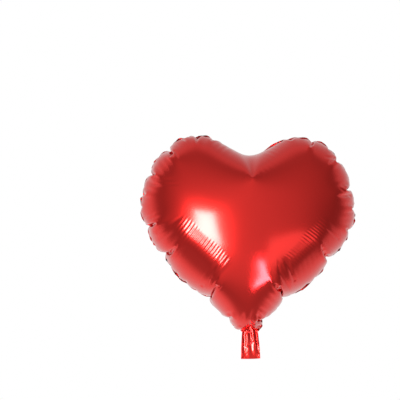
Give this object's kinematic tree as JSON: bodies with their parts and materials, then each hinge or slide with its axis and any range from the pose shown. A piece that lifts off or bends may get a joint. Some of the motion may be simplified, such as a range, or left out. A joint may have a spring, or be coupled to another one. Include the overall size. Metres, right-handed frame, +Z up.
{
  "type": "heart-shaped foil balloon",
  "caption": "Filled heart-shaped balloon of red metallised film with a flat tail and a self-sealing clear film valve inside.",
  "frame": {"origin": "the crease where the tail meets the body, in the middle of the films: where a ribbon is tied", "axes": "+Z up through the body to the heart's cleft, +X to the right seen from the front, +Y out of the back panel, so the front faces -Y"},
  "size_m": [0.359, 0.2054, 0.3829],
  "materials": {
    "red_foil": "glossy red metallised plastic film",
    "clear_film": "clear, slightly milky thin film"
  },
  "bodies": {
    "body": {"front_panel": "red_foil", "back_panel": "red_foil"},
    "tail": {"tail_front": "red_foil", "tail_back": "red_foil", "valve_tail_front": "clear_film", "valve_tail_back": "clear_film"},
    "leaf_front": {"valve_leaf_front": "clear_film"},
    "leaf_back": {"valve_leaf_back": "clear_film"}
  },
  "joints": [
    {"name": "tail_bend", "type": "hinge", "parent": "body", "child": "tail", "pos_m": [0, 0, 0], "axis": [1, 0, 0], "range_deg": [-90, 90]},
    {"name": "valve_front_flap", "type": "hinge", "parent": "body", "child": "leaf_front", "pos_m": [0, -0.00035, 0.0026], "axis": [1, 0, 0], "range_deg": [0, 5]},
    {"name": "valve_back_flap", "type": "hinge", "parent": "body", "child": "leaf_back", "pos_m": [0, 0.00035, 0.0026], "axis": [1, 0, 0], "range_deg": [-5, 0]}
  ]
}
